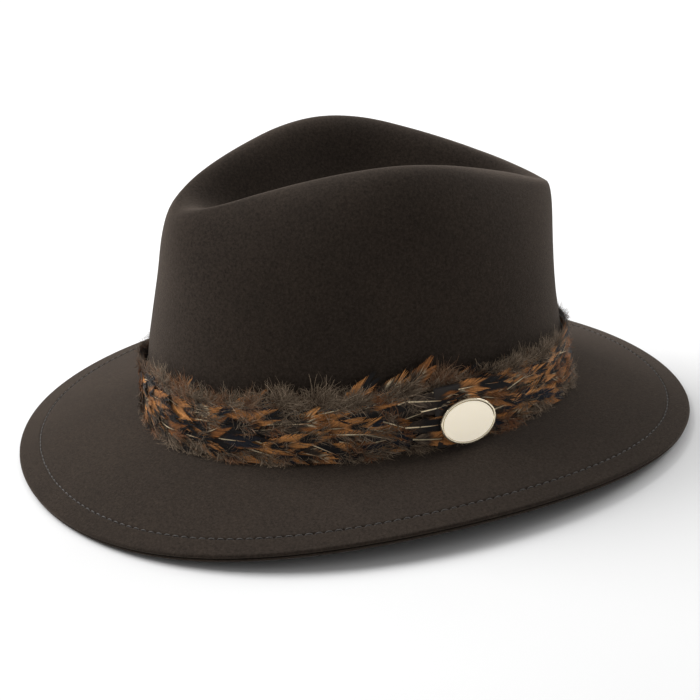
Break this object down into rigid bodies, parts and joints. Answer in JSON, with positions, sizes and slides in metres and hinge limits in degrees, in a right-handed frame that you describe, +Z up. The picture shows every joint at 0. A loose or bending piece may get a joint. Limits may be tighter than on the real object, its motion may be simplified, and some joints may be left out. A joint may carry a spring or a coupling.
{
  "type": "felt fedora hat",
  "caption": "Soft felt fedora with a creased crown, stitched welted brim, feather wrap with an oval badge, leather sweatband and satin lining.",
  "frame": {"origin": "centre of the brim outline on the plane the hat rests on", "axes": "+Z up out of the crown, -Y towards the front of the hat, +X towards the wearer's left"},
  "size_m": [0.2966, 0.3314, 0.1436],
  "materials": {
    "wool_felt": "matte napped wool felt, dark brown",
    "spring_wire": "drawn spring wire",
    "edge_thread": "polyester sewing thread, brown",
    "ribbon": "grosgrain ribbon, dark brown",
    "feather": "pheasant feather, rust with black tips",
    "down": "feather down, grey brown",
    "binding_thread": "waxed thread, dark brown",
    "keeper_leather": "smooth dark brown leather",
    "badge_metal": "pale gold plate, polished rim",
    "badge_steel": "plain steel",
    "sweat_leather": "smooth brown leather",
    "reed": "extruded plastic reed",
    "sweat_thread": "sewing thread, brown",
    "satin": "satin lining, brown"
  },
  "bodies": {
    "hat": {"felt_body": "wool_felt", "brim_underwelt": "wool_felt", "brim_wire": "spring_wire", "brim_edge_stitching": "edge_thread", "sweatband": "sweat_leather", "sweatband_reed": "reed", "sweatband_stitching": "sweat_thread", "sweatband_back_tape": "satin", "sweatband_bow": "satin", "lining_side_band": "satin", "lining_tip": "satin"},
    "feather_wrap": {"wrap_backing_ribbon": "ribbon", "feathers_upper_row": "feather", "feathers_middle_row": "feather", "feathers_lower_row": "feather", "down_fluff_upper": "down", "down_fluff_lower": "down", "wrap_binding_thread": "binding_thread", "wrap_keeper_strap": "keeper_leather", "badge_plate": "badge_metal", "badge_back_plate": "badge_steel", "badge_posts": "badge_steel"}
  },
  "joints": [
    {"name": "wrap_lift", "type": "slide", "parent": "hat", "child": "feather_wrap", "axis": [0, 0.0523, 0.9986], "range_m": [0, 0.13]}
  ]
}
